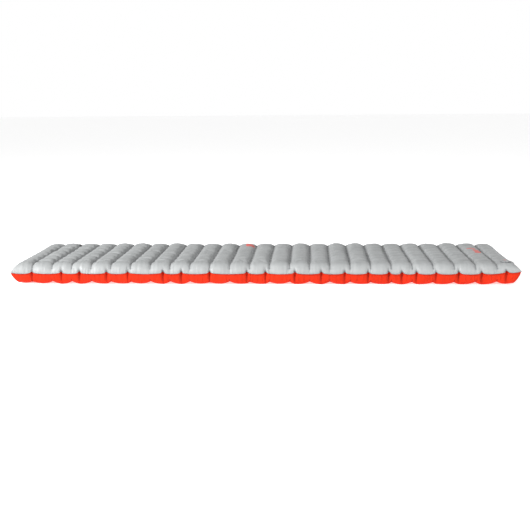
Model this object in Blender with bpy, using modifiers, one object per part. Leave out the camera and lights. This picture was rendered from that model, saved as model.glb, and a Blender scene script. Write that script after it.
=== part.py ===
"""Inflatable sleeping pad: two welded sheets, an I-beam baffle under each valley and a flat valve.

X runs along the pad, with the head end and its valve at +X. Y runs across it, with the valve's
long edge at -Y. Z is up, and the origin is on the ground below the pad's centre. Lengths are
in metres; the valve's own sizes are given in millimetres through MM.
"""
import math

import bmesh
import bpy
from mathutils import Matrix, Vector

MM = 0.001
COLLECTION_NAME = "inflatable_sleeping_pad"

# Driving dimensions of the inflated pad
PAD_LENGTH = 1.830
PAD_WIDTH = 0.510
CROWN_Z = 0.078
SEAM_Z = 0.040
VALLEY_DEPTH = 0.010
TUBE_COUNT = 25
WIDE_TUBE_COUNT = 10       # the tubes at the head end that grow wider
WIDE_TUBE_GROWTH = 0.052   # how much wider the last of them is
WELD_WIDTH = 0.004         # perimeter weld flange
CLOSURE_DEPTH = 0.038      # how far in from the weld the sheets reach their full height
CLOSURE_POWER = 2.1        # superellipse power of that rounded edge
SHEET_THICKNESS = 0.0006
CLEARANCE = 0.0003         # gap kept between pieces that touch
BAFFLE_THICKNESS = 0.0006
BAFFLE_END_GAP = 0.045     # air passage between a baffle's end and the pad's long edge

# Where the sheets are faceted, as shares of a tube's width and of the closure's depth
TOP_CROWN_SHARE = 0.24     # flat facet on top of each tube
TOP_TUBE_SHARES = (0.0, 0.14, 0.38, 0.62, 0.86)
BOTTOM_CROWN_SHARE = 0.60  # flat facet that rests on the ground
BOTTOM_TUBE_SHARES = (0.0, 0.20, 0.80)
DIP_POWER = 1.6
CLOSURE_SHARES = (0.0, 0.10, 0.42, 1.0)

# Valve: a flat seat in the last tube, near the corner
VALVE_X = 0.872
VALVE_Y = -0.205
VALVE_Z = CROWN_Z - 1.5 * MM
SEAT_HALF = 24 * MM        # half the side of the flat patch around the valve
SEAT_RUN_OUT = 40 * MM     # where the tube has its full height again
SHEET_HOLE_R = 15.9 * MM
COLLAR_HINGE = Vector((-20.5, 0.0, 1.75)) * MM   # from the valve's centre on the sheet
CAP_HINGE = Vector((0.0, -17.3, 3.45)) * MM
SPOKE_COUNT = 4
SPOKE_WIDTH_MM = 2.0
TURN_STEPS = 32
MERGE_DISTANCE = 0.00001
SHARP_ANGLE = math.radians(35)

GREY_FABRIC = (0.50, 0.51, 0.51)
ORANGE_FABRIC = (0.84, 0.06, 0.015)
FILM = (0.80, 0.80, 0.78)
DARK_GREY = (0.10, 0.105, 0.11)
MID_GREY = (0.22, 0.23, 0.235)
RED = (0.62, 0.03, 0.02)
CLEAR_SILICONE = (0.72, 0.73, 0.72)


def new_collection(name):
    """Collection in the scene."""
    collection = bpy.data.collections.new(name)
    bpy.context.scene.collection.children.link(collection)
    return collection


def new_material(name, colour, roughness):
    """Plain Principled material for one sub-part."""
    material = bpy.data.materials.new(name)
    material.use_nodes = True
    shader = material.node_tree.nodes["Principled BSDF"]
    shader.inputs["Base Color"].default_value = (*colour, 1.0)
    shader.inputs["Roughness"].default_value = roughness
    shader.inputs["Metallic"].default_value = 0.0
    material.diffuse_color = (*colour, 1.0)
    return material


def world_position(obj):
    """Sum of the locations up the chain of parents, none of which is turned or scaled."""
    position = Vector()
    while obj:
        position += obj.location
        obj = obj.parent
    return position


def place(obj, position, parent=None):
    """Put an object at a world position, under a parent or none."""
    obj.parent = parent
    obj.location = Vector(position) - world_position(parent)


def new_object(name, mesh, collection, colour=None, roughness=0.5):
    """Object for a mesh, with its own material unless it is a cutter."""
    obj = bpy.data.objects.new(name, mesh)
    collection.objects.link(obj)
    if colour:
        obj.data.materials.append(new_material(name, colour, roughness))
    return obj


def new_empty(name, position, collection, parent=None):
    """Empty on a joint's axis."""
    empty = bpy.data.objects.new(name, None)
    empty.empty_display_size = 0.01
    collection.objects.link(empty)
    place(empty, position, parent)
    return empty


def box_mesh(name, low, high):
    """Box between two corners."""
    low, high = Vector(low), Vector(high)
    bm = bmesh.new()
    size = Matrix.Diagonal((*(high - low), 1.0))
    bmesh.ops.create_cube(bm, size=1.0, matrix=Matrix.Translation((low + high) / 2) @ size)
    mesh = bpy.data.meshes.new(name)
    bm.to_mesh(mesh)
    bm.free()
    return mesh


def turn(obj, profile):
    """Turn (radius, height) millimetre points about Z; they run down the outer side."""
    points = [(radius * MM, 0.0, height * MM) for radius, height in profile]
    edges = [(i, i + 1) for i in range(len(points) - 1)]
    if all(radius > 0 for radius, height in profile):
        edges.append((len(points) - 1, 0))
    obj.data.from_pydata(points, edges, [])
    screw = obj.modifiers.new("Turn", "SCREW")
    screw.steps = TURN_STEPS
    screw.render_steps = TURN_STEPS
    screw.use_merge_vertices = True
    screw.merge_threshold = MERGE_DISTANCE


def shade_by_angle(obj):
    """Freeze the modifiers, then shade smooth except where the surface turns sharply."""
    bpy.context.view_layer.update()
    depsgraph = bpy.context.evaluated_depsgraph_get()
    mesh = bpy.data.meshes.new_from_object(obj.evaluated_get(depsgraph))
    obj.modifiers.clear()
    obj.data = mesh
    mesh.name = obj.name
    mesh.shade_smooth()
    mesh.set_sharp_from_angle(angle=SHARP_ANGLE)


def combine(obj, other, operation):
    """Boolean with another object, which stays hidden in the cutters' collection."""
    other.hide_render = True
    other.display_type = "WIRE"
    boolean = obj.modifiers.new(other.name, "BOOLEAN")
    boolean.operation = operation
    boolean.solver = "EXACT"
    boolean.object = other


# Shape of the inflated sheets

def tube_edges():
    """X of the tubes' borders from foot to head: both welds and the valleys between."""
    first_wide = TUBE_COUNT - WIDE_TUBE_COUNT - 1
    widths = []
    for tube in range(TUBE_COUNT):
        share = max(0.0, (tube - first_wide) / WIDE_TUBE_COUNT)
        widths.append(1.0 + WIDE_TUBE_GROWTH * share)
    span = PAD_LENGTH - 2 * WELD_WIDTH
    edges = [-span / 2]
    for width in widths:
        edges.append(edges[-1] + width * span / sum(widths))
    return edges


def closure_rise(distance):
    """Share of the full height at a distance in from the weld."""
    share = min(1.0, max(0.0, distance / CLOSURE_DEPTH))
    return (1.0 - (1.0 - share) ** CLOSURE_POWER) ** (1.0 / CLOSURE_POWER)


def tube_dip(x, edges, crown_share):
    """How far the sheet dips below its crown at x."""
    tube = 0
    while tube < TUBE_COUNT - 1 and x > edges[tube + 1]:
        tube += 1
    width = edges[tube + 1] - edges[tube]
    side = 2 * (x - edges[tube]) / width - 1
    outer_half = (tube == 0 and side < 0) or (tube == TUBE_COUNT - 1 and side > 0)
    if outer_half:
        return 0.0
    off_crown = max(0.0, (abs(side) - crown_share) / (1.0 - crown_share))
    return VALLEY_DEPTH * min(1.0, off_crown) ** DIP_POWER


def length_stations(edges, shares):
    """X of the sheet's grid lines."""
    stations = [-PAD_LENGTH / 2, PAD_LENGTH / 2]
    for share in CLOSURE_SHARES:
        stations.append(edges[0] + share * CLOSURE_DEPTH)
        stations.append(edges[-1] - share * CLOSURE_DEPTH)
    for tube in range(TUBE_COUNT):
        width = edges[tube + 1] - edges[tube]
        for share in shares:
            x = edges[tube] + share * width
            if edges[0] + CLOSURE_DEPTH < x < edges[-1] - CLOSURE_DEPTH:
                stations.append(x)
    return sorted(stations)


def width_stations():
    """Y of the sheet's grid lines."""
    weld = PAD_WIDTH / 2 - WELD_WIDTH
    stations = [-PAD_WIDTH / 2, PAD_WIDTH / 2]
    for share in CLOSURE_SHARES:
        stations.append(-weld + share * CLOSURE_DEPTH)
        stations.append(weld - share * CLOSURE_DEPTH)
    return sorted(stations)


def in_valve_patch(x, y):
    """Whether a grid point lies in the flat patch around the valve."""
    reach = SEAT_HALF + MERGE_DISTANCE
    return abs(x - VALVE_X) <= reach and abs(y - VALVE_Y) <= reach


def sheet(name, colour, collection, edges, is_top):
    """One sheet as a shaped grid with thickness on its inner side."""
    xs = length_stations(edges, TOP_TUBE_SHARES if is_top else BOTTOM_TUBE_SHARES)
    ys = width_stations()
    if is_top:
        xs = sorted(xs + [VALVE_X - SEAT_HALF, VALVE_X + SEAT_HALF])
        ys = sorted(ys + [VALVE_Y - SEAT_HALF, VALVE_Y + SEAT_HALF, VALVE_Y + SEAT_RUN_OUT])
    crown_share = TOP_CROWN_SHARE if is_top else BOTTOM_CROWN_SHARE
    direction = 1 if is_top else -1
    weld_z = SEAM_Z + direction * (CLEARANCE / 2 + SHEET_THICKNESS)
    crown_z = CROWN_Z if is_top else 0.0
    bm = bmesh.new()
    columns, rows = len(xs) - 1, len(ys) - 1
    bmesh.ops.create_grid(bm, x_segments=columns, y_segments=rows, size=0.5)
    for vertex in bm.verts:
        x = xs[round((vertex.co.x + 0.5) * columns)]
        y = ys[round((vertex.co.y + 0.5) * rows)]
        along = min(x - edges[0], edges[-1] - x)
        across = PAD_WIDTH / 2 - WELD_WIDTH - abs(y)
        rise = closure_rise(along) * closure_rise(across)
        full = crown_z - direction * tube_dip(x, edges, crown_share)
        z = weld_z + (full - weld_z) * rise
        if is_top and in_valve_patch(x, y):
            z = VALVE_Z
        vertex.co = (x, y, z)
    if not is_top:
        bmesh.ops.reverse_faces(bm, faces=bm.faces)
    mesh = bpy.data.meshes.new(name)
    bm.to_mesh(mesh)
    bm.free()
    mesh.shade_smooth()
    mesh.set_sharp_from_angle(angle=SHARP_ANGLE)
    obj = new_object(name, mesh, collection, colour, 0.6)
    solidify = obj.modifiers.new("Fabric", "SOLIDIFY")
    solidify.thickness = SHEET_THICKNESS
    solidify.offset = -1.0
    return obj


def baffle(number, x, collection):
    """Upright strip that ties the two sheets together below one valley."""
    name = f"baffle_{number:02d}"
    end = VALLEY_DEPTH + SHEET_THICKNESS + 1.5 * CLEARANCE
    half_y = PAD_WIDTH / 2 - BAFFLE_END_GAP
    half_x = BAFFLE_THICKNESS / 2
    mesh = box_mesh(name, (-half_x, -half_y, end), (half_x, half_y, CROWN_Z - end))
    obj = new_object(name, mesh, collection, FILM, 0.45)
    place(obj, (x, 0.0, 0.0))


# Valve

def valve_position():
    """Centre of the valve on the sheet's outer face."""
    return Vector((VALVE_X, VALVE_Y, VALVE_Z))


def turned_part(name, profile, collection, colour, roughness, parent=None):
    """Turned valve piece on the valve's axis."""
    obj = new_object(name, bpy.data.meshes.new(name), collection, colour, roughness)
    turn(obj, profile)
    place(obj, valve_position(), parent)
    return obj


def add_block(obj, name, low, high, cutters):
    """Join a block, given in millimetres from the valve's centre, to a valve piece."""
    mesh = box_mesh(name, Vector(low) * MM, Vector(high) * MM)
    block = new_object(name, mesh, cutters)
    place(block, valve_position())
    combine(obj, block, "UNION")


def weld_flange(collection):
    """Soft ring that is welded to the inner face of the top sheet."""
    profile = [(22.5, -0.9), (22.5, -1.7), (15.9, -1.7), (15.9, -0.9)]
    obj = turned_part("valve_weld_flange", profile, collection, MID_GREY, 0.5)
    shade_by_angle(obj)


def valve_seat(collection, cutters):
    """Housing with a rim over the sheet, the wide bore and the lug of the collar's hinge."""
    profile = [(17.4, 1.6), (18.0, 1.0), (18.0, 0.3), (15.6, 0.3), (15.6, -10.0), (13.2, -10.0), (13.2, 1.6)]
    obj = turned_part("valve_seat", profile, collection, DARK_GREY, 0.45)
    add_block(obj, "seat_hinge_lug", (-20.1, -4.5, 0.3), (-15.0, 4.5, 1.6), cutters)
    shade_by_angle(obj)


def deflation_collar(collection, cutters, hinge):
    """Plug with the narrow bore, a seal groove, a hinge strap and a grip."""
    profile = [
        (16.0, 3.3), (16.5, 2.8), (16.5, 1.9), (12.7, 1.9), (12.7, -0.9), (11.0, -0.9), (11.0, -2.9),
        (12.4, -2.9), (11.4, -8.0), (10.4, -8.0), (10.4, -6.0), (9.6, -6.0), (9.6, 3.3),
    ]
    obj = turned_part("deflation_collar", profile, collection, MID_GREY, 0.45, hinge)
    add_block(obj, "collar_hinge_strap", (-20.4, -4.5, 1.9), (-14.5, 4.5, 2.9), cutters)
    add_block(obj, "collar_grip", (14.5, -4.5, 1.9), (20.5, 4.5, 2.9), cutters)
    add_block(obj, "cap_hinge_lug", (-4.0, -16.9, 1.9), (4.0, -14.5, 3.3), cutters)
    shade_by_angle(obj)


def flap_grid(collection, cutters, hinge):
    """Spoked insert in the collar's foot: the seat of the flap and the guide of the button."""
    low, high, half = -7.8, -6.3, SPOKE_WIDTH_MM / 2
    rim = [(10.1, high), (10.1, low), (8.6, low), (8.6, high)]
    obj = turned_part("flap_grid", rim, collection, DARK_GREY, 0.45, hinge)
    hub = new_object("grid_hub", bpy.data.meshes.new("grid_hub"), cutters)
    turn(hub, [(3.4, high), (3.4, low), (1.7, low), (1.7, high)])
    place(hub, valve_position())
    combine(obj, hub, "UNION")
    for spoke in range(SPOKE_COUNT):
        name = f"grid_spoke_{spoke + 1}"
        mesh = box_mesh(name, Vector((2.6, -half, low)) * MM, Vector((9.2, half, high)) * MM)
        mesh.transform(Matrix.Rotation((spoke + 0.5) * math.tau / SPOKE_COUNT, 4, "Z"))
        arm = new_object(name, mesh, cutters)
        place(arm, valve_position())
        combine(obj, arm, "UNION")
    shade_by_angle(obj)


def collar_seal(collection, hinge):
    """Round seal in the collar's groove."""
    ring_r, wire_r, height, sides = 12.0, 0.7, -1.9, 8
    profile = []
    for side in range(sides):
        angle = math.pi / 2 - side * math.tau / sides
        profile.append((ring_r + wire_r * math.cos(angle), height + wire_r * math.sin(angle)))
    obj = turned_part("collar_seal_ring", profile, collection, DARK_GREY, 0.6, hinge)
    shade_by_angle(obj)


def one_way_flap(collection, slide):
    """Thin silicone disc that closes the spoked floor from below."""
    profile = [(10.3, -8.3), (10.3, -9.1), (1.6, -9.1), (1.6, -8.3)]
    obj = turned_part("one_way_flap", profile, collection, CLEAR_SILICONE, 0.3, slide)
    shade_by_angle(obj)


def bleed_button(collection, slide):
    """Button whose stem passes the hub and carries the flap on its foot."""
    profile = [
        (0.0, -2.2), (2.2, -2.2), (2.6, -2.6), (2.6, -3.7), (1.3, -3.7),
        (1.3, -9.4), (2.6, -9.4), (2.6, -10.2), (0.0, -10.2),
    ]
    obj = turned_part("bleed_button", profile, collection, RED, 0.4, slide)
    shade_by_angle(obj)


def inflation_cap(collection, cutters, hinge):
    """Cap with a shallow solid plug and a hinge strap."""
    profile = [
        (0.0, 4.9), (13.8, 4.9), (14.5, 4.2), (14.5, 3.6), (9.2, 3.6), (9.2, 2.0), (8.8, 1.6), (0.0, 1.6),
    ]
    obj = turned_part("inflation_cap", profile, collection, MID_GREY, 0.45, hinge)
    add_block(obj, "cap_hinge_strap", (-3.5, -17.2, 3.6), (3.5, -12.5, 4.5), cutters)
    shade_by_angle(obj)


def cap_pull_tab(collection, hinge):
    """Soft tab on the cap's free edge, with a rounded end."""
    mesh = box_mesh("cap_pull_tab", Vector((-4.5, 14.8, 3.7)) * MM, Vector((4.5, 22.0, 4.6)) * MM)
    bm = bmesh.new()
    bm.from_mesh(mesh)
    outer = []
    for edge in bm.edges:
        upright = abs(edge.verts[0].co.z - edge.verts[1].co.z) > MERGE_DISTANCE
        if upright and edge.verts[0].co.y > 20 * MM:
            outer.append(edge)
    bmesh.ops.bevel(bm, geom=outer, offset=4 * MM, segments=5, profile=0.5, affect="EDGES")
    bm.to_mesh(mesh)
    bm.free()
    obj = new_object("cap_pull_tab", mesh, collection, RED, 0.6)
    place(obj, valve_position(), hinge)


def build():
    """Make the pad."""
    for obj in list(bpy.data.objects):
        bpy.data.objects.remove(obj, do_unlink=True)
    parts = new_collection(COLLECTION_NAME)
    cutters = new_collection("cutters")
    edges = tube_edges()

    top = sheet("top_sheet", GREY_FABRIC, parts, edges, True)
    sheet("bottom_sheet", ORANGE_FABRIC, parts, edges, False)
    for number, x in enumerate(edges[1:-1], start=1):
        baffle(number, x, parts)

    hole = new_object("sheet_hole", bpy.data.meshes.new("sheet_hole"), cutters)
    turn(hole, [(0.0, 4.0), (SHEET_HOLE_R / MM, 4.0), (SHEET_HOLE_R / MM, -4.0), (0.0, -4.0)])
    place(hole, valve_position())
    combine(top, hole, "DIFFERENCE")

    collar_hinge = new_empty("collar_hinge", valve_position() + COLLAR_HINGE, parts)
    cap_hinge = new_empty("cap_hinge", valve_position() + CAP_HINGE, parts, collar_hinge)
    button_slide = new_empty("button_slide", valve_position(), parts, collar_hinge)
    weld_flange(parts)
    valve_seat(parts, cutters)
    deflation_collar(parts, cutters, collar_hinge)
    flap_grid(parts, cutters, collar_hinge)
    collar_seal(parts, collar_hinge)
    one_way_flap(parts, button_slide)
    bleed_button(parts, button_slide)
    inflation_cap(parts, cutters, cap_hinge)
    cap_pull_tab(parts, cap_hinge)
    bpy.context.view_layer.update()


build()
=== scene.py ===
"""Looks of the inflatable sleeping pad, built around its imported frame.

The two sheets start as grids set roughly to the pad's shape, are blown up by a small cloth solver in
this file, and become the grey upper and orange lower fabric. X runs along the pad, Y across it and Z
up, in metres.
"""

import math

import bpy
import numpy as np
from mathutils import Matrix, Vector


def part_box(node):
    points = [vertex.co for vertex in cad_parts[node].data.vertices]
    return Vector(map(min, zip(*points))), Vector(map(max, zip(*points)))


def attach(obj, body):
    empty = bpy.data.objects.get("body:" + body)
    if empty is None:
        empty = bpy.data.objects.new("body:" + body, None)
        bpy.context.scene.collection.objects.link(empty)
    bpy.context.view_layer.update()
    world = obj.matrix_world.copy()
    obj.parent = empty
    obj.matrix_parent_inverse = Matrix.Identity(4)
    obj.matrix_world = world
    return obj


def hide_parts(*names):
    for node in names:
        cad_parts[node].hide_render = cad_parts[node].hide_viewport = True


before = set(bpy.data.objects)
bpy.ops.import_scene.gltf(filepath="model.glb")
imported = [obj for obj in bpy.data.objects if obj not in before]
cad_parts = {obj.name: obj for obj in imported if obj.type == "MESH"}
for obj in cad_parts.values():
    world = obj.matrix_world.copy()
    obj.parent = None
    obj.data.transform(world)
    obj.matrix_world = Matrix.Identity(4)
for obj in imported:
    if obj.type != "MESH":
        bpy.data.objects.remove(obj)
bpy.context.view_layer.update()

SEAT_RADIUS = 0.018        # of the valve seat's rim
SEAT_PROUD = 0.0016        # how far that rim stands above the fabric around it

# Sizes read from the frame
TOP_LOW, TOP_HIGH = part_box("top_sheet")
BOTTOM_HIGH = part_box("bottom_sheet")[1]
SEAT_LOW, SEAT_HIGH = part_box("valve_seat")
BAFFLE_COUNT = 24
BAFFLE_NAMES = [f"baffle_{n:02d}" for n in range(1, BAFFLE_COUNT + 1)]
VALLEY_X = [sum(corner.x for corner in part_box(name)) / 2 for name in BAFFLE_NAMES]
BAFFLE_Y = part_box("baffle_01")[1].y
HALF_X = TOP_HIGH.x
HALF_Y = TOP_HIGH.y
CROWN_Z = TOP_HIGH.z
SEAM_Z = (TOP_LOW.z + BOTTOM_HIGH.z) / 2
VALVE_X = SEAT_HIGH.x - SEAT_RADIUS
VALVE_Y = (SEAT_LOW.y + SEAT_HIGH.y) / 2
VALVE_Z = SEAT_HIGH.z - SEAT_PROUD
PATCH_LOW, PATCH_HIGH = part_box("valve_weld_flange")
PATCH_RADIUS = (PATCH_HIGH.x - PATCH_LOW.x) / 2

# Fabric grid
FLANGE = 0.004             # welded edge outside the chamber
WELD_X = HALF_X - FLANGE
WELD_Y = HALF_Y - FLANGE
TUBE_EDGES = [-WELD_X, *VALLEY_X, WELD_X]
BORDERS = (slice(0, 2), slice(-2, None))  # the welded columns or rows at either end of the grid
TOP_REACH = 0.036          # how far in from the weld the upper sheet reaches full height
TOP_POWER = 2.05           # roundness of the sheet's rise there
WALL_REACH = 0.027         # how far in from the weld the lower sheet reaches the ground
WALL_POWER = 2.5
END_REACH = (0.030, 0.018)  # the same for both sheets at the short ends
END_POWER = (1.9, 1.6)
CORNER_POWER = 1.5
CORNER_FLOOR = 0.001       # least share used there, so that no power is of zero
CORNER_EAR = 0.006         # how far the weld's corners stand out
EAR_REACH = 0.025
VALLEY_DEPTH = 0.010
VALLEY_POWER = 2.3         # how narrow the valleys are
TUBE_CELLS = 14            # columns of the grid in a tube
END_TUBE_CELLS = 18
WIDTH_CELLS = 100
SMOOTHING = 0.06           # of the fine grid

# Spots where the baffles tie the sheets down, as small pits along each valley
TIE_PITCH = 0.057
TIE_SPREAD = 0.010
TIE_DEPTH = 0.0065
TIE_RISE = 0.0022          # rise of the valley between two ties
TIE_JITTER = 0.003
TIE_DRIFT = 0.0012         # how far a valley wavers to either side
RIPPLE = 0.030             # share by which the cloth is shorter across a tube at its ties
RIPPLE_EASE = 0.020        # share by which it is longer along a tube
PUFF_FOOT = 0.0052         # height of the swellings between ties on the first tube
PUFF_HEAD = 0.0024         # and on the last
SHOULDER = 1.1             # how much squarer than a plain arc the tubes' backs are

# Pleats of the long edges, in tubes from the foot end
FRONT_PLEATS = (
    1.0, 2.5, 3.45, 4.8, 5.9, 7.65, 8.55, 10.0, 11.85, 12.8, 14.25,
    15.55, 16.75, 17.9, 18.85, 19.5, 20.2, 21.15, 22.2, 23.25, 24.4,
)
PLEAT_RISE = 0.0050        # how far the weld comes up at a pleat
PLEAT_TUCK = 0.0075        # and how far in
PLEAT_WIDTH = 0.0042
FOOT_WIDTH = 0.016         # width of a pleat's foot near the ground
FOOT_REACH = 0.62          # share by which a pleat's foot stands nearer the edge
SEAM_ARC = 0.0035          # sag of the weld between two pleats
SEAM_BULGE = 0.0020        # how far it stands out there
HEAD_LIFT = 0.008          # the weld's rise at the head end's front corner
HEAD_LIFT_X = 0.12         # how far from the head end that rise starts
HEAD_LIFT_Y = (0.10, 0.155)  # how far from the middle it starts, and the distance it grows over
CORNER_LIFT = 0.006        # how far the lower sheet's corners stand off the ground
CORNER_LIFT_REACH = 0.07
VALLEY_REACH = (0.050, 0.030)  # how far in from the weld each sheet's valleys have their depth
BACK_RISE = 0.0026         # how much fuller the tubes are towards the back edge
WELD_GAP = 0.0005          # between the two sheets' middles in the weld

# How far in from the weld points are drawn to the set shape, and by what share of the way in a pass
SHAPED_REACH = 0.042
KEEP_NEAR = 0.12
KEEP_WELD = 0.4
KEEP_VALLEY_END = 0.3
KEEP_FOLD = ((-1, 0.25), (0, 0.5), (1, 0.25))  # by columns away from the fold
PASSES = 2                 # of the distances in a step of the solver

# Fabric around the valve
FLAT_MARGIN = 0.0045       # how far outside the flange the fabric is flat
CLEAR_MARGIN = 0.004       # how far outside it the swellings start
FADE = 0.02                # distance over which swellings grow, there and at the valleys' ends
HOLE_RADIUS = 0.0167
HOLE_SEARCH = 0.025        # edge points farther out than this belong to the sheet's outline

FILM_SPAN = (0.004, 0.996)  # the baffle films' share of the height, just clear of both sheets
FLOOR_DROP = 0.0004        # how far the floor lies below the pad

# The camera, as fitted to the photo's valley lines, weld line, front corners and outline
CAMERA_PLACE = (0.171, -3.414, 0.633)
CAMERA_ANGLES = (2.91, 10.03, -0.45)  # yaw, pitch and roll in degrees
CAMERA_LENS = 60.98


def arc_resample(points, cells):
    """Points at equal arc steps along a fine polyline, and the length of a step."""
    steps = np.linalg.norm(np.diff(points, axis=0), axis=1)
    run = np.concatenate([[0.0], np.cumsum(steps)])
    at = np.linspace(0.0, run[-1], cells + 1)
    resampled = [np.interp(at, run, points[:, k]) for k in range(points.shape[1])]
    return np.stack(resampled, -1), run[-1] / cells


def rise_at(distance, reach=TOP_REACH, power=TOP_POWER):
    """Share of the full height at a distance in from the weld."""
    share = np.clip(distance / reach, 0.0, 1.0)
    return (1.0 - (1.0 - share) ** power) ** (1.0 / power)


def length_grid():
    """X of the grid's columns, its cells' lengths, each column's dip and the valley columns."""
    edges = TUBE_EDGES
    xs, rests, dips, valleys = [-HALF_X, -WELD_X], [FLANGE], [0.0, 0.0], []
    for tube in range(len(edges) - 1):
        x = np.linspace(edges[tube], edges[tube + 1], 400)
        side = 2 * (x - edges[tube]) / (edges[tube + 1] - edges[tube]) - 1
        dip = VALLEY_DEPTH * np.abs(side) ** VALLEY_POWER
        first, last = tube == 0, tube == len(edges) - 2
        if first:
            dip[side < 0] = 0.0
        if last:
            dip[side > 0] = 0.0
        z = (CROWN_Z - SEAM_Z) * rise_at(WELD_X - np.abs(x)) - dip
        cells = END_TUBE_CELLS if first or last else TUBE_CELLS
        path, step = arc_resample(np.stack([x, z, dip], -1), cells)
        xs.extend(path[1:, 0])
        dips.extend(path[1:, 2])
        rests.extend([step] * cells)
        if not last:
            valleys.append(len(xs) - 1)
    return np.array(xs + [HALF_X]), np.array(rests + [FLANGE]), np.array(dips + [0.0]), valleys


def width_grid():
    """Y of the grid's rows and its cells' lengths."""
    y = np.linspace(-WELD_Y, WELD_Y, 4000)
    z = (CROWN_Z - SEAM_Z) * rise_at(WELD_Y - np.abs(y))
    path, step = arc_resample(np.stack([y, z], -1), WIDTH_CELLS)
    ys = np.concatenate([[-HALF_Y], path[:, 0], [HALF_Y]])
    return ys, np.array([FLANGE] + [step] * WIDTH_CELLS + [FLANGE])


def lengths(a, b):
    """Distances between two arrays of points."""
    return np.sqrt(((b - a) ** 2).sum(-1))


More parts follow.
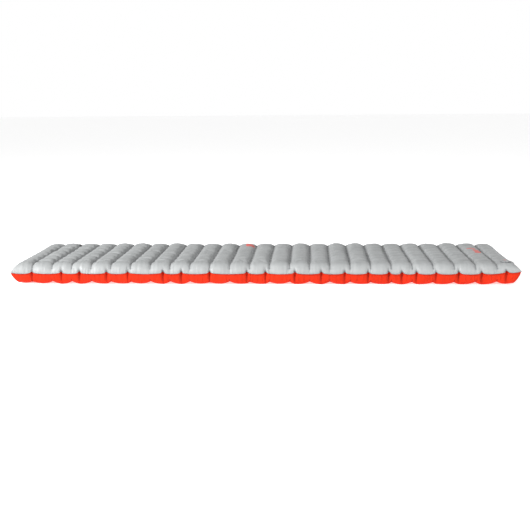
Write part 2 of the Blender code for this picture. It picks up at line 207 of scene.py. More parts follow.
class Cloth:
    """The pad's two sheets as grids, [sheet, column, row, axis], with their rest lengths."""

    def __init__(self):
        self.xs, rest_x, self.dips, self.valleys = length_grid()
        self.ys, rest_y = width_grid()
        self.rng = np.random.default_rng(7)
        self.first_tie = -BAFFLE_Y + 0.012
        self.set_pleats()
        self.set_shape()
        self.set_rests(rest_x, rest_y)
        self.set_ties()
        self.set_valve()

    def set_pleats(self):
        """Columns of the pleats in each long edge, their narrow folds and the arcs between them."""
        edges = np.array(TUBE_EDGES)
        back = [t + 0.5 + self.rng.uniform(-0.45, 0.45) for t in np.arange(0.6, 24.0, 1.18)]
        self.folds = []
        self.narrow, self.foot, self.arcs = np.zeros((3, 2, len(self.xs)))
        for side, pleats in ((0, FRONT_PLEATS), (1, back)):
            stops = [-WELD_X]
            for pleat in pleats:
                tube = min(int(pleat), len(edges) - 2)
                x = edges[tube] + (pleat - tube) * (edges[tube + 1] - edges[tube])
                column = int(np.abs(self.xs - x).argmin())
                strength = self.rng.uniform(0.8, 1.15)
                self.folds.append((side, column))
                fold = strength * np.exp(-(np.abs(self.xs - self.xs[column]) / PLEAT_WIDTH) ** 1.3)
                self.narrow[side] = np.maximum(self.narrow[side], fold)
                foot = np.exp(-np.abs(self.xs - self.xs[column]) / FOOT_WIDTH)
                self.foot[side] = np.maximum(self.foot[side], foot)
                stops.append(self.xs[column])
            stops.append(WELD_X)
            phase = np.interp(self.xs, stops, np.arange(len(stops)))
            self.arcs[side] = (2 * (phase % 1.0) - 1) ** 2

    def set_shape(self):
        """The shape the edges keep: full walls, with folds and arcs along the long welds."""
        grid_x, grid_y = np.meshgrid(self.xs, self.ys, indexing="ij")
        front = grid_y < 0
        narrow = np.where(front, self.narrow[0][:, None], self.narrow[1][:, None])
        arcs = np.where(front, self.arcs[0][:, None], self.arcs[1][:, None])
        foot = np.where(front, self.foot[0][:, None], self.foot[1][:, None])
        inset_x, inset_y = WELD_X - np.abs(grid_x), WELD_Y - np.abs(grid_y)
        self.inset = np.minimum(inset_x, inset_y)
        at_head = np.clip((grid_x - HALF_X + HEAD_LIFT_X) / HEAD_LIFT_X, 0, 1)
        at_front = np.clip((-grid_y - HEAD_LIFT_Y[0]) / HEAD_LIFT_Y[1], 0, 1)
        lift = HEAD_LIFT * at_head * at_front ** 2
        corner = inset_x + inset_y
        ear = np.sign(grid_x) * CORNER_EAR * np.exp(-np.maximum(corner, 0.0) / EAR_REACH)
        sheets = []
        for which in (0, 1):
            reach_y = TOP_REACH if which == 0 else WALL_REACH * (1 - FOOT_REACH * foot)
            rise_x = rise_at(inset_x, END_REACH[which], END_POWER[which])
            rise_y = rise_at(inset_y, reach_y, (TOP_POWER, WALL_POWER)[which])
            rises = (np.maximum(rise, CORNER_FLOOR) for rise in (rise_x, rise_y))
            lack = sum(rise ** -CORNER_POWER for rise in rises) - 1.0
            rise = np.where(rise_x * rise_y > 0, lack ** (-1 / CORNER_POWER), 0.0)
            height = (CROWN_Z - SEAM_Z, -SEAM_Z)[which]
            if which == 0:
                fade = (1 - rise) ** 1.5
            else:
                fade = (1 - 0.6 * rise) * np.clip(1.8 - self.inset / 0.03, 0, 1)
            broad = (1 - rise) ** 0.7
            y = grid_y - np.sign(grid_y) * (PLEAT_TUCK * narrow * fade - SEAM_BULGE * (1 - arcs) * broad)
            if which == 0:
                y -= np.sign(grid_y) * 2.2 * self.dips[:, None] * rise * (1 - rise)
            depth = self.dips[:, None] * rise_at(inset_y, VALLEY_REACH[which], 1.6)
            z = SEAM_Z + height * rise - np.sign(height) * depth * (rise > 0.5)
            z += PLEAT_RISE * narrow * fade * (1 - rise) + (SEAM_ARC * arcs + lift) * (1 - rise)
            if which == 1:
                z += CORNER_LIFT * rise * np.exp(-(np.maximum(corner, 0.0) / CORNER_LIFT_REACH) ** 2)
            sheets.append(np.stack([grid_x + ear, y, z], -1))
        self.shape = np.stack(sheets)
        self.points = self.shape.copy()
        near = np.clip(1.25 - self.inset / SHAPED_REACH, 0.0, 1.0)
        keep = KEEP_NEAR * near ** 2
        keep[self.inset <= 0.0005] = KEEP_WELD
        for side, column in self.folds:
            rows = slice(1, 10) if side == 0 else slice(-10, -1)
            for shift, share in KEEP_FOLD:
                keep[column + shift, rows] = np.maximum(keep[column + shift, rows], share)
        self.near = near
        self.keep = keep[None, ..., None]

    def set_rests(self, rest_x, rest_y):
        """Rest lengths: a flat panel's, blended into the shaped edges of the pad."""
        p = self.points
        near_x = (self.near[1:] + self.near[:-1]) / 2
        near_y = (self.near[:, 1:] + self.near[:, :-1]) / 2
        near_cell = (near_x[:, 1:] + near_x[:, :-1]) / 2
        fade = 1.0 - 0.6 * (self.xs + HALF_X) / (2 * HALF_X)
        tied = np.abs(self.ys[1:] + self.ys[:-1]) / 2 <= BAFFLE_Y
        at_ties = np.cos(2 * math.pi * (self.ys - self.first_tie) / TIE_PITCH)
        at_ties *= np.abs(self.ys) <= BAFFLE_Y
        flat_x = rest_x[:, None] * (1 - RIPPLE * fade[1:, None] * at_ties[None, :])
        flat_y = rest_y[None, :] * (1 + RIPPLE_EASE * fade[:, None] * tied[None, :])
        self.rest_x = flat_x + near_x * (1.01 * lengths(p[:, :-1], p[:, 1:]) - flat_x)
        self.rest_y = flat_y + near_y * (1.01 * lengths(p[:, :, :-1], p[:, :, 1:]) - flat_y)
        across = (self.rest_x[..., 1:] + self.rest_x[..., :-1]) / 2
        along = (self.rest_y[:, 1:] + self.rest_y[:, :-1]) / 2
        flat = np.sqrt(across ** 2 + along ** 2)
        self.rest_a = flat + near_cell * (1.01 * lengths(p[:, :-1, :-1], p[:, 1:, 1:]) - flat)
        self.rest_b = flat + near_cell * (1.01 * lengths(p[:, :-1, 1:], p[:, 1:, :-1]) - flat)

    def set_ties(self):
        """Height of the valley lines, with a pit at each tie, and their slight waver in X."""
        tied = np.abs(self.ys) <= BAFFLE_Y + 0.002
        self.tied_rows = np.flatnonzero(tied)
        y = self.ys[self.tied_rows]
        self.tie_z = np.zeros((2, len(self.valleys), len(y)))
        self.tie_x = np.zeros((len(self.valleys), len(y)))
        self.tie_pit_shade = np.zeros((len(self.valleys), len(y)))
        for n in range(len(self.valleys)):
            share = n / (len(self.valleys) - 1)
            strength = 1.0 - 0.45 * share
            spots = np.arange(self.first_tie, BAFFLE_Y, TIE_PITCH)
            spots = spots + self.rng.uniform(-TIE_JITTER, TIE_JITTER, len(spots))
            pit = np.exp(-(((y[:, None] - spots[None, :]) / TIE_SPREAD) ** 2)).sum(1)
            offset = strength * (TIE_RISE - TIE_DEPTH * pit)
            self.tie_z[0, n] = CROWN_Z - VALLEY_DEPTH + offset
            self.tie_z[1, n] = VALLEY_DEPTH - offset
            drift = self.rng.uniform(-TIE_DRIFT, TIE_DRIFT, len(spots))
            self.tie_x[n] = VALLEY_X[n] + np.interp(y, spots, drift)
            # Painted shade mask for the tie pits
            self.tie_pit_shade[n] = pit ** 2
        loose = [row for row in range(5, len(self.ys) - 5) if row not in set(self.tied_rows)]
        for column in self.valleys:
            self.keep[0, column, loose] = np.maximum(self.keep[0, column, loose], KEEP_VALLEY_END)

    def set_valve(self):
        """Points of the top sheet that the valve's flange keeps flat."""
        top = self.points[0]
        away = np.hypot(top[..., 0] - VALVE_X, top[..., 1] - VALVE_Y)
        self.valve_points = np.nonzero(away < PATCH_RADIUS + FLAT_MARGIN)
        self.valve_target = top[self.valve_points].copy()
        self.valve_target[:, 2] = VALVE_Z

    def hold(self):
        """Put the held points back: edges, folds, ties, valve and ground."""
        p = self.points
        seam = (p[0] + p[1]) / 2
        for ring in [(columns,) for columns in BORDERS] + [(slice(None), rows) for rows in BORDERS]:
            p[0][ring] = seam[ring]
            p[1][ring] = seam[ring]
        p += self.keep * (self.shape - p)
        for columns in BORDERS:
            p[:, columns, :, 0] = self.shape[:, columns, :, 0]
        for n, column in enumerate(self.valleys):
            p[:, column, self.tied_rows, 0] = self.tie_x[n][None]
            p[:, column, self.tied_rows, 2] = self.tie_z[:, n]
        p[0][self.valve_points] = self.valve_target
        np.maximum(p[..., 2], 0.0, out=p[..., 2])

    def project(self, a, b, rest, stiff):
        """Move two arrays of points so that their distances come closer to rest."""
        gap = b - a
        length = np.sqrt((gap ** 2).sum(-1))
        pull = (length - rest) / np.maximum(length, 1e-9)
        pull = np.where(pull > 0, pull, pull * stiff)
        move = gap * (0.5 * pull)[..., None]
        a += move
        b -= move

    def constrain(self):
        """One pass over all the distances, in groups that share no point."""
        p = self.points
        for s in (0, 1):
            end = (len(self.xs) - 1 - s) // 2 * 2 + s
            self.project(p[:, s:end:2], p[:, s + 1:end + 1:2], self.rest_x[:, s:end:2], 0.4)
            self.project(p[:, s:end:2, :-1], p[:, s + 1:end + 1:2, 1:], self.rest_a[:, s:end:2], 0.25)
            self.project(p[:, s:end:2, 1:], p[:, s + 1:end + 1:2, :-1], self.rest_b[:, s:end:2], 0.25)
            end = (len(self.ys) - 1 - s) // 2 * 2 + s
            self.project(p[:, :, s:end:2], p[:, :, s + 1:end + 1:2], self.rest_y[:, :, s:end:2], 0.5)

    def soften(self, amount):
        """Bending stiffness: points move towards the middle of their neighbours."""
        p = self.points
        for axis in (1, 2):
            q = np.moveaxis(p, axis, 0)
            middle = (q[:-2] + q[2:]) / 2
            q[1:-1] += amount * (middle - q[1:-1])

    def normals(self):
        """Outward normals of both sheets."""
        along = np.gradient(self.points, axis=1)
        across = np.gradient(self.points, axis=2)
        normal = np.cross(along, across)
        normal[1] *= -1
        return normal / np.maximum(np.linalg.norm(normal, axis=-1, keepdims=True), 1e-12)

    def inflate(self, steps, push, damping, bend):
        """Blow the sheets up against their seams, ties and pleats."""
        velocity = np.zeros_like(self.points)
        for _ in range(steps):
            before = self.points.copy()
            self.points += velocity + push * self.normals()
            for _ in range(PASSES):
                self.constrain()
                self.hold()
            self.soften(bend)
            self.hold()
            velocity = (self.points - before) * damping

    def puff(self):
        """Swell the upper sheet between its ties, square its tubes' backs and vary their fullness."""
        stops = np.concatenate([[0], self.valleys, [len(self.xs) - 1]])
        phase = np.interp(np.arange(len(self.xs)), stops, np.arange(len(stops)))
        side = np.abs(2 * (phase % 1.0) - 1)
        middle = 1.0 - side ** 3
        tube = np.floor(phase).astype(int)
        shift = self.rng.uniform(-0.004, 0.004, len(stops))[tube]
        size = self.rng.uniform(0.8, 1.2, len(stops))[tube]
        height = np.interp(self.xs, (-HALF_X, 0.2, HALF_X), (PUFF_FOOT, PUFF_HEAD, PUFF_HEAD))
        turn = math.pi * (self.ys[None, :] - self.first_tie - shift[:, None]) / TIE_PITCH
        inside = np.clip((BAFFLE_Y + 0.005 - np.abs(self.ys)) / FADE, 0.0, 1.0)
        # Painted shade mask for the grooves between swellings, used only for colour
        self.groove_shade = (1.0 - np.abs(np.sin(turn))) ** 3 * inside * middle[:, None]
        swell = (np.abs(np.sin(turn)) ** 0.8 - 0.6) * inside * middle[:, None]
        away = np.hypot(self.points[0, ..., 0] - VALVE_X, self.points[0, ..., 1] - VALVE_Y)
        clear = np.clip((away - PATCH_RADIUS - CLEAR_MARGIN) / FADE, 0.0, 1.0)
        swell *= clear
        self.points[0, ..., 2] += (height * size)[:, None] * swell
        square = SHOULDER * VALLEY_DEPTH * (side ** 2 - side ** 3.5)
        self.points[0, ..., 2] += square[:, None] * clear * np.clip(self.inset / 0.04, 0.0, 1.0)
        fullness = self.rng.uniform(0.0, 0.0032, len(stops))[tube]
        fullness[tube == 0] = fullness[tube >= len(stops) - 2] = -0.0015
        fullness = fullness[:, None] + BACK_RISE * np.clip((self.ys[None, :] - 0.02) / 0.16, 0.0, 1.0)
        self.points[0, ..., 2] += fullness * middle[:, None] * inside * clear


def refine(points, smooth):
    """Twice as many columns and rows, through the old points."""
    for axis in (0, 1):
        q = np.moveaxis(points, axis, 0)
        eased = q.copy()
        eased[1:-1] += smooth * ((q[:-2] + q[2:]) / 2 - q[1:-1])
        padded = np.concatenate([2 * q[:1] - q[1:2], q, 2 * q[-1:] - q[-2:-1]])
        middle = (9 * (padded[1:-2] + padded[2:-1]) - padded[:-3] - padded[3:]) / 16
        out = np.empty((2 * len(q) - 1, *q.shape[1:]))
        out[0::2] = eased
        out[1::2] = middle
        points = np.moveaxis(out, 0, axis)
    return points


def grid_faces(columns, rows, flip):
    """Quads of a grid whose points are numbered column by column."""
    index = np.arange(columns * rows).reshape(columns, rows)
    quads = np.stack([index[:-1, :-1], index[1:, :-1], index[1:, 1:], index[:-1, 1:]], -1)
    quads = quads.reshape(-1, 4)
    return quads[:, ::-1] if flip else quads


def mesh_object(name, points, faces, attributes=None, material=None):
    """Smooth-shaded mesh object from arrays, with float or vector attributes on its points."""
    mesh = bpy.data.meshes.new(name)
    mesh.from_pydata(points.reshape(-1, 3).tolist(), [], faces.tolist())
    for key, values in (attributes or {}).items():
        kind, field_name = ("FLOAT_VECTOR", "vector") if values.ndim > 1 else ("FLOAT", "value")
        layer = mesh.attributes.new(key, kind, "POINT")
        layer.data.foreach_set(field_name, values.astype(np.float32).ravel())
    mesh.shade_smooth()
    obj = bpy.data.objects.new(name, mesh)
    bpy.context.scene.collection.objects.link(obj)
    if material:
        mesh.materials.append(material)
    return obj


def drop_unused(points, faces, attributes):
    """Keep only the points that a face uses."""
    used = np.unique(faces)
    renumber = np.full(len(points), -1)
    renumber[used] = np.arange(len(used))
    return points[used], renumber[faces], {key: values[used] for key, values in attributes.items()}


cloth = Cloth()
cloth.inflate(steps=700, push=2.5e-6, damping=0.985, bend=0.006)
cloth.puff()


# Materials

class Surface:
    """A Principled material and short ways to add nodes to it."""

    def __init__(self, name, **constants):
        self.material = bpy.data.materials.new(name)
        self.material.use_nodes = True
        self.tree = self.material.node_tree
        self.shader = self.tree.nodes["Principled BSDF"]
        for key, value in constants.items():
            self.shader.inputs[key.replace("_", " ")].default_value = value

    def add(self, kind, **settings):
        """A new node with its settings."""
        node = self.tree.nodes.new(kind)
        for key, value in settings.items():
            setattr(node, key, value)
        return node

    def feed(self, socket, value):
        """Link a socket to another, or set its constant."""
        if isinstance(value, bpy.types.NodeSocket):
            self.tree.links.new(value, socket)
        else:
            socket.default_value = value

    def math(self, operation, a, b=0.0):
        """An operation on two sockets or numbers."""
        node = self.add("ShaderNodeMath", operation=operation)
        self.feed(node.inputs[0], a)
        self.feed(node.inputs[1], b)
        return node.outputs[0]

    def attribute(self, name, vector=False):
        """A value stored on the points of the mesh."""
        node = self.add("ShaderNodeAttribute", attribute_name=name)
        return node.outputs["Vector" if vector else "Fac"]

    def place(self):
        """Position in the object's own frame."""
        return self.add("ShaderNodeTexCoord").outputs["Object"]

    def scaled(self, vector, scale):
        """A vector stretched axis by axis."""
        node = self.add("ShaderNodeMapping")
        self.feed(node.inputs["Vector"], vector)
        node.inputs["Scale"].default_value = scale
        return node.outputs[0]

    def parts(self, vector):
        """Sockets of a vector's X, Y and Z."""
        node = self.add("ShaderNodeSeparateXYZ")
        self.feed(node.inputs[0], vector)
        return node.outputs

    def noise(self, vector, scale, detail=3.0, roughness=0.55):
        """Noise about 0.5."""
        node = self.add("ShaderNodeTexNoise")
        self.feed(node.inputs["Vector"], vector)
        node.inputs["Scale"].default_value = scale
        node.inputs["Detail"].default_value = detail
        node.inputs["Roughness"].default_value = roughness
        return node.outputs["Fac"]

    def span(self, value, low, high, to_low=0.0, to_high=1.0):
        """Map a value's range to another, with soft ends."""
        node = self.add("ShaderNodeMapRange", interpolation_type="SMOOTHSTEP")
        self.feed(node.inputs["Value"], value)
        limits = {"From Min": low, "From Max": high, "To Min": to_low, "To Max": to_high}
        for key, number in limits.items():
            node.inputs[key].default_value = number
        return node.outputs["Result"]

    def mix(self, factor, a, b):
        """A blend of two colours."""
        node = self.add("ShaderNodeMix", data_type="RGBA")
        self.feed(node.inputs["Factor"], factor)
        self.feed(node.inputs["A"], a if isinstance(a, bpy.types.NodeSocket) else (*a, 1.0))
        self.feed(node.inputs["B"], b if isinstance(b, bpy.types.NodeSocket) else (*b, 1.0))
        return node.outputs["Result"]

    def line(self, coordinate, pitch, width):
        """1 on thin lines a pitch apart, 0 between them."""
        phase = self.math("PINGPONG", coordinate, pitch / 2)
        return self.span(phase, 0.0, width, 1.0, 0.0)

    def bump(self, height, distance, strength=1.0, below=None):
        """A normal from a height, over another normal."""
        node = self.add("ShaderNodeBump")
        self.feed(node.inputs["Height"], height)
        node.inputs["Distance"].default_value = distance
        node.inputs["Strength"].default_value = strength
        if below:
            self.feed(node.inputs["Normal"], below)
        return node.outputs[0]

    def finish(self, colour, roughness, normal):
        """Link the shader and give the material."""
        self.feed(self.shader.inputs["Base Color"], colour)
        self.feed(self.shader.inputs["Roughness"], roughness)
        self.feed(self.shader.inputs["Normal"], normal)
        return self.material


def rounded_bar(s, place, centre, half):
    """1 inside a rounded bar on the fabric, given by its centre and half sizes in X and Y."""
    x, y = s.parts(place)[:2]
    across = s.math("DIVIDE", s.math("SUBTRACT", x, centre[0]), half[0])
    along = s.math("DIVIDE", s.math("SUBTRACT", y, centre[1]), half[1])
    powers = [s.math("POWER", s.math("ABSOLUTE", offset), 8.0) for offset in (across, along)]
    reach = s.math("ADD", *powers)
    return s.span(reach, 0.8, 1.2, 1.0, 0.0)


def fabric(name, colour, deep, sheen, gloss, uneven, marks=()):
    """Coated ripstop: fine weave, a 5 mm reinforcing grid, painted shade in valleys, tie pits and pleat
    creases, and marks of print or painted shadow.
    """
    s = Surface(name, Sheen_Weight=sheen, Sheen_Roughness=0.35, Specular_IOR_Level=gloss)
    flat = s.attribute("flat", vector=True)
    u, v = s.parts(flat)[:2]
    broad = s.noise(flat, 5.0, 3.0)
    cloudy = s.noise(s.scaled(flat, (1.0, 0.45, 1.0)), 42.0, 4.0)
    fine = s.noise(flat, 900.0, 2.0)
    dark, light = 1.0 - 0.07 * uneven, 1.0 + 0.05 * uneven
    darker, lighter = (tuple(share * c for c in colour) for share in (dark, light))
    shade = s.mix(s.span(broad, 0.3, 0.7), darker, lighter)
    clouds = s.math("MULTIPLY", s.span(cloudy, 0.35, 0.7), 0.35 * uneven)
    shade = s.mix(clouds, shade, tuple(0.86 * c for c in colour))
    ripstop = s.math("MAXIMUM", s.line(u, 0.005, 0.0005), s.line(v, 0.005, 0.0005))
    shade = s.mix(s.math("MULTIPLY", ripstop, 0.16), shade, deep)
    shade = s.mix(s.math("MULTIPLY", s.span(fine, 0.3, 0.7), 0.10), shade, deep)
    # Painted shade in the valley creases along the baffle welds
    valley = s.math("POWER", s.attribute("weld"), 1.6)
    shade = s.mix(s.math("MULTIPLY", valley, 0.85), shade, deep)
    # Painted shade in the tie pits and in the grooves between swellings
    shade = s.mix(s.math("MULTIPLY", s.attribute("tie"), 0.95), shade, deep)
    # Painted shade in the pleat creases; the lower sheet is also darker along its long edges
    crease_shade = s.math("POWER", s.attribute("fold"), 1.5)
    shade = s.mix(s.math("MULTIPLY", crease_shade, 0.95), shade, deep)
    for centre, half, paint, share in marks:
        mask = s.math("MULTIPLY", rounded_bar(s, s.place(), centre, half), share)
        shade = s.mix(mask, shade, paint)
    rough = s.span(s.noise(flat, 60.0, 3.0), 0.3, 0.7, 0.44, 0.60)
    rough = s.math("SUBTRACT", rough, s.math("MULTIPLY", s.attribute("weld"), 0.12))
    threads = s.math("ADD", s.line(u, 0.0007, 0.00025), s.line(v, 0.0007, 0.00025))
    weave = s.math("ADD", s.math("MULTIPLY", threads, 0.35), ripstop)
    crinkle = s.noise(s.scaled(flat, (1.0, 3.0, 1.0)), 34.0, 5.0, 0.6)
    pucker = s.noise(s.scaled(flat, (1.8, 0.3, 1.0)), 48.0, 1.2)
    near = s.math("ADD", s.math("MULTIPLY", s.attribute("gather"), 0.9), 0.12)
    normal = s.bump(weave, 0.00012, 0.5)
    normal = s.bump(crinkle, 0.0016, 0.10, normal)
    normal = s.bump(s.math("MULTIPLY", pucker, near), 0.006, 0.45 * uneven, normal)
    return s.finish(shade, rough, normal)


def plastic(name, colour, roughness, grain=2600.0):
    """Moulded plastic with a fine grain, flow marks and lighter convex edges."""
    s = Surface(name, Specular_IOR_Level=0.5)
    place = s.place()
    cloudy = s.noise(place, 120.0, 3.0)
    darker, lighter = (tuple(share * c for c in colour) for share in (0.88, 1.1))
    shade = s.mix(s.span(cloudy, 0.3, 0.7), darker, lighter)
    # Convex edges, found by pointiness, are made lighter
    convexity = s.add("ShaderNodeNewGeometry").outputs["Pointiness"]
    edge_lightening = s.math("MULTIPLY", s.span(convexity, 0.52, 0.60), 0.35)
    shade = s.mix(edge_lightening, shade, tuple(min(1, 1.7 * c + 0.05) for c in colour))
    scuffs = s.noise(s.scaled(place, (1.0, 6.0, 1.0)), 700.0, 4.0, 0.7)
    rough = s.span(scuffs, 0.3, 0.75, roughness - 0.07, roughness + 0.12)
    normal = s.bump(s.noise(place, grain, 2.0), 0.00006, 0.5)
    return s.finish(shade, rough, normal)


def silicone(name, colour):
    """Soft rubber with a slightly uneven surface."""
    s = Surface(name, Subsurface_Weight=0.3, Subsurface_Scale=0.002, Specular_IOR_Level=0.4)
    place = s.place()
    shade = s.mix(s.noise(place, 300.0), colour, tuple(0.8 * c for c in colour))
    rough = s.span(s.noise(place, 900.0), 0.3, 0.7, 0.35, 0.5)
    return s.finish(shade, rough, s.bump(s.noise(place, 1500.0), 0.00005, 0.4))


def film(name):
    """Frosted film with faint upright bands at the ties' pitch."""
    s = Surface(name, Transmission_Weight=0.25, IOR=1.45)
    place = s.place()
    bands = s.line(s.parts(place)["Y"], TIE_PITCH, 0.004)
    shade = s.mix(s.math("MULTIPLY", bands, 0.5), (0.80, 0.80, 0.78), (0.62, 0.62, 0.60))
    shade = s.mix(s.math("MULTIPLY", s.noise(place, 60.0), 0.3), shade, (0.70, 0.71, 0.70))
    rough = s.span(s.noise(place, 200.0), 0.3, 0.7, 0.35, 0.55)
    return s.finish(shade, rough, s.bump(s.noise(place, 240.0), 0.0002, 0.4))


# The deep colours darken the ripstop lines and fine speckle, and are also the painted shade of valleys, tie
# pits and pleat creases
GREY = (0.385, 0.397, 0.398)
GREY_DEEP = (0.10, 0.105, 0.11)
ORANGE = (0.64, 0.030, 0.008)
ORANGE_DEEP = (0.27, 0.006, 0.002)
PRINT = (0.70, 0.10, 0.08)
MARKS = (
    ((0.794, 0.068), (0.016, 0.018), PRINT, 0.85),
    ((0.808, 0.012), (0.012, 0.030), PRINT, 0.80),
    ((-0.069, 0.170), (0.017, 0.022), PRINT, 0.85),
    # Painted shadow: a dark spot for the shaded gap at the back end of the valley between tubes 2 and 3
    ((-0.772, 0.203), (0.008, 0.016), (0.03, 0.03, 0.03), 0.8),
)
top_material = fabric("top_fabric_coated_ripstop", GREY, GREY_DEEP, 0.12, 0.42, 1.0, MARKS)
bottom_material = fabric("base_fabric_coated_ripstop", ORANGE, ORANGE_DEEP, 0.0, 0.07, 1.9)
film_material = film("baffle_film")


# The two sheets

def field(values, smooth):
    """A float mask on the fine grid."""
    return np.clip(refine(values[..., None], smooth)[..., 0], 0.0, 1.0).ravel()


def sheet_masks(which):
    """Weld, tie, fold, gather and flat coordinates on the fine grid; weld, tie and fold hold painted shade.
    """
    columns, rows = len(cloth.xs), len(cloth.ys)
    weld, tie, fold = (np.zeros((columns, rows)) for n in range(3))
    # Painted shade along the valley creases, fading towards the head end, and in the tie pits
    for n, column in enumerate(cloth.valleys):
        weld[column, 4:-4] = 0.9
        weld[column, cloth.tied_rows] = 1.0 - 0.6 * n / len(cloth.valleys)
        tie[column, cloth.tied_rows] = cloth.tie_pit_shade[n]
    # Painted shade in the grooves between the upper sheet's swellings; the lower sheet is darker along its
    # long edges
    if which == 0:
        tie = np.maximum(tie, 0.3 * cloth.groove_shade)
    else:
        fold[:, :2] = fold[:, -2:] = 0.4
    # Painted shade in the pleat creases near the long edges
    for side, column in cloth.folds:
        reach = np.array([1.0, 1.0, 0.8, 0.5, 0.25]) if which == 0 else np.linspace(1.0, 0.35, 9)
        rows_in = np.arange(len(reach)) if side == 0 else rows - 1 - np.arange(len(reach))
        for shift, share in ((-1, 0.35), (0, 1.0), (1, 0.35)):
            fold[column + shift, rows_in] = np.maximum(fold[column + shift, rows_in], share * reach)
    inward = (WELD_Y - np.abs(cloth.ys)) / 0.05
    gather = np.exp(-np.clip(inward, 0.0, None) ** 2)[None] + 0.6 * tie
    u = np.concatenate([[0.0], np.cumsum(cloth.rest_x[which, :, rows // 2])])
    v = np.concatenate([[0.0], np.cumsum(cloth.rest_y[which, columns // 2])])
    flat = np.stack([*np.meshgrid(u, v, indexing="ij"), np.full((columns, rows), float(which))], -1)
    return {
        "weld": field(weld, 0.0),
        "tie": field(tie, 0.0),
        "fold": field(fold, 0.0),
        "gather": field(gather, 0.0),
        "flat": refine(flat, 0.0).reshape(-1, 3),
    }


def open_valve_hole(points, faces):
    """Leave out the faces under the valve and draw the hole's edge to a circle under its rim."""
    centre = np.array([VALVE_X, VALVE_Y])
    away = np.linalg.norm(points[:, :2] - centre, axis=1)
    low = points[:, 2] < SEAM_Z
    inside = (away < HOLE_RADIUS) & ~low
    kept = faces[~inside[faces].any(axis=1)]
    edges = np.sort(np.concatenate([kept[:, [k, (k + 1) % 4]] for k in range(4)]), axis=1)
    unique, count = np.unique(edges, axis=0, return_counts=True)
    rim = np.unique(unique[count == 1])
    rim = rim[away[rim] < HOLE_SEARCH]
    direction = (points[rim, :2] - centre) / away[rim, None]
    points[rim, :2] = centre + HOLE_RADIUS * direction
    points[rim, 2] = VALVE_Z
    return kept


fine = [refine(cloth.points[s], SMOOTHING) for s in (0, 1)]
columns, rows = fine[0].shape[:2]
welded = np.ones((columns, rows))
welded[3:-3, 3:-3] = 0.0
for s, sign in ((0, 1), (1, -1)):
    for across in (fine[s], fine[s].swapaxes(0, 1)):
        across[1] = (across[0] + across[2]) / 2
        across[-2] = (across[-1] + across[-3]) / 2
    fine[s][..., 2] = np.maximum(fine[s][..., 2], 0.0) + sign * WELD_GAP / 2 * welded

for which, name, node, slot_name, material in (
    (0, "upper_fabric", "top_sheet", "top_fabric", top_material),
    (1, "lower_fabric", "bottom_sheet", "base_fabric", bottom_material),
):
    points = fine[which].reshape(-1, 3)
    faces = grid_faces(columns, rows, which == 1)
    if which == 0:
        faces = open_valve_hole(points, faces)
    points, faces, masks = drop_unused(points, faces, sheet_masks(which))
    obj = mesh_object(name, points, faces, masks, material)
    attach(obj, "pad")
    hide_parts(node)

# Baffle films between the valleys' ties
for n, node in enumerate(BAFFLE_NAMES):
    top = cloth.points[0, cloth.valleys[n], cloth.tied_rows]
    bottom = cloth.points[1, cloth.valleys[n], cloth.tied_rows]
    shares = np.linspace(*FILM_SPAN, 7)[:, None, None]
    strip = bottom[None] + shares * (top - bottom)[None]
    faces = grid_faces(strip.shape[0], strip.shape[1], False)
    obj = mesh_object(node.replace("baffle", "baffle_film"), strip, faces, None, film_material)
    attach(obj, "pad")
    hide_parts(node)

# Valve
VALVE_LOOKS = {
    "valve_weld_flange": plastic("weld_flange_tpu", (0.24, 0.245, 0.25), 0.5),
    "valve_seat": plastic("valve_seat_nylon", (0.085, 0.09, 0.095), 0.42),
    "deflation_collar": plastic("collar_nylon", (0.27, 0.275, 0.28), 0.40),
    "flap_grid": plastic("grid_nylon", (0.10, 0.105, 0.11), 0.45),
    "collar_seal_ring": silicone("seal_rubber_black", (0.05, 0.05, 0.05)),
    "one_way_flap": silicone("flap_silicone_clear", (0.66, 0.67, 0.66)),
    "bleed_button": plastic("button_red", (0.55, 0.02, 0.015), 0.38),
    "inflation_cap": plastic("cap_nylon", (0.29, 0.295, 0.30), 0.40),
    "cap_pull_tab": plastic("pull_tab_red", (0.62, 0.03, 0.02), 0.55, 1200.0),
}
for node, material in VALVE_LOOKS.items():
    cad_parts[node].data.materials.clear()
    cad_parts[node].data.materials.append(material)


# Stage

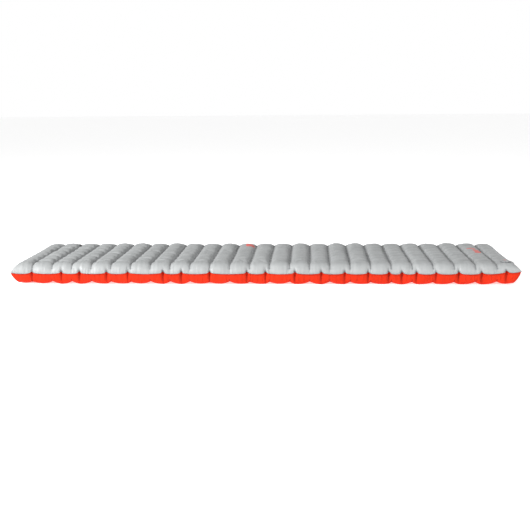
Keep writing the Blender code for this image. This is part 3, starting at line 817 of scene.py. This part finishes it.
def place_camera():
    """Camera a little right of the middle, low in front of the pad."""
    yaw, pitch, roll = (math.radians(angle) for angle in CAMERA_ANGLES)
    level = math.cos(pitch)
    forward = Vector((-math.sin(yaw) * level, math.cos(yaw) * level, -math.sin(pitch)))
    right = Vector((math.cos(yaw), math.sin(yaw), 0.0))
    up = right.cross(forward)
    right, up = (
        right * math.cos(roll) + up * math.sin(roll),
        up * math.cos(roll) - right * math.sin(roll),
    )
    data = bpy.data.cameras.new("camera")
    data.sensor_width = 36.0
    data.lens = CAMERA_LENS
    data.clip_end = 200.0
    camera = bpy.data.objects.new("camera", data)
    turn = Matrix((right, up, -forward)).transposed().to_4x4()
    camera.matrix_world = Matrix.Translation(CAMERA_PLACE) @ turn
    bpy.context.scene.collection.objects.link(camera)
    bpy.context.scene.camera = camera
    bpy.context.scene.view_settings.view_transform = "Standard"


def area_light(name, position, target, size, power):
    """Square soft box aimed at a point."""
    data = bpy.data.lights.new(name, "AREA")
    data.shape = "SQUARE"
    data.size = size
    data.energy = power
    light = bpy.data.objects.new(name, data)
    aim = (Vector(target) - Vector(position)).to_track_quat("-Z", "Y")
    light.matrix_world = Matrix.Translation(position) @ aim.to_matrix().to_4x4()
    bpy.context.scene.collection.objects.link(light)


def studio():
    """Pale floor and a pale surround that is brightest at the horizon."""
    world = bpy.data.worlds.new("studio")
    bpy.context.scene.world = world
    world.use_nodes = True
    tree = world.node_tree
    direction = tree.nodes.new("ShaderNodeTexCoord").outputs["Generated"]
    split = tree.nodes.new("ShaderNodeSeparateXYZ")
    ramp = tree.nodes.new("ShaderNodeMapRange")
    tree.links.new(direction, split.inputs[0])
    tree.links.new(split.outputs["Z"], ramp.inputs["Value"])
    for key, number in (("From Min", 0.12), ("From Max", 0.30), ("To Min", 1.0), ("To Max", 0.33)):
        ramp.inputs[key].default_value = number
    tree.links.new(ramp.outputs["Result"], tree.nodes["Background"].inputs["Strength"])
    tree.nodes["Background"].inputs["Color"].default_value = (1.0, 1.0, 1.0, 1.0)

    edge = 60.0
    corners = np.array([(x * edge, y * edge, -FLOOR_DROP) for x, y in ((-1, -1), (1, -1), (1, 1), (-1, 1))])
    s = Surface("pale_floor", Specular_IOR_Level=0.1, Emission_Strength=0.62)
    s.shader.inputs["Emission Color"].default_value = (1.0, 1.0, 1.0, 1.0)
    s.finish((0.90, 0.90, 0.90, 1.0), 0.8, s.bump(s.noise(s.place(), 30.0), 0.0001, 0.1))
    floor = mesh_object("floor", corners, np.array([[0, 1, 2, 3]]), None, s.material)


place_camera()
studio()
area_light("key", (-4.4, -2.9, 2.6), (0.0, 0.0, 0.0), 1.8, 430.0)
area_light("fill", (3.2, -2.4, 2.2), (0.2, 0.0, 0.0), 2.0, 60.0)
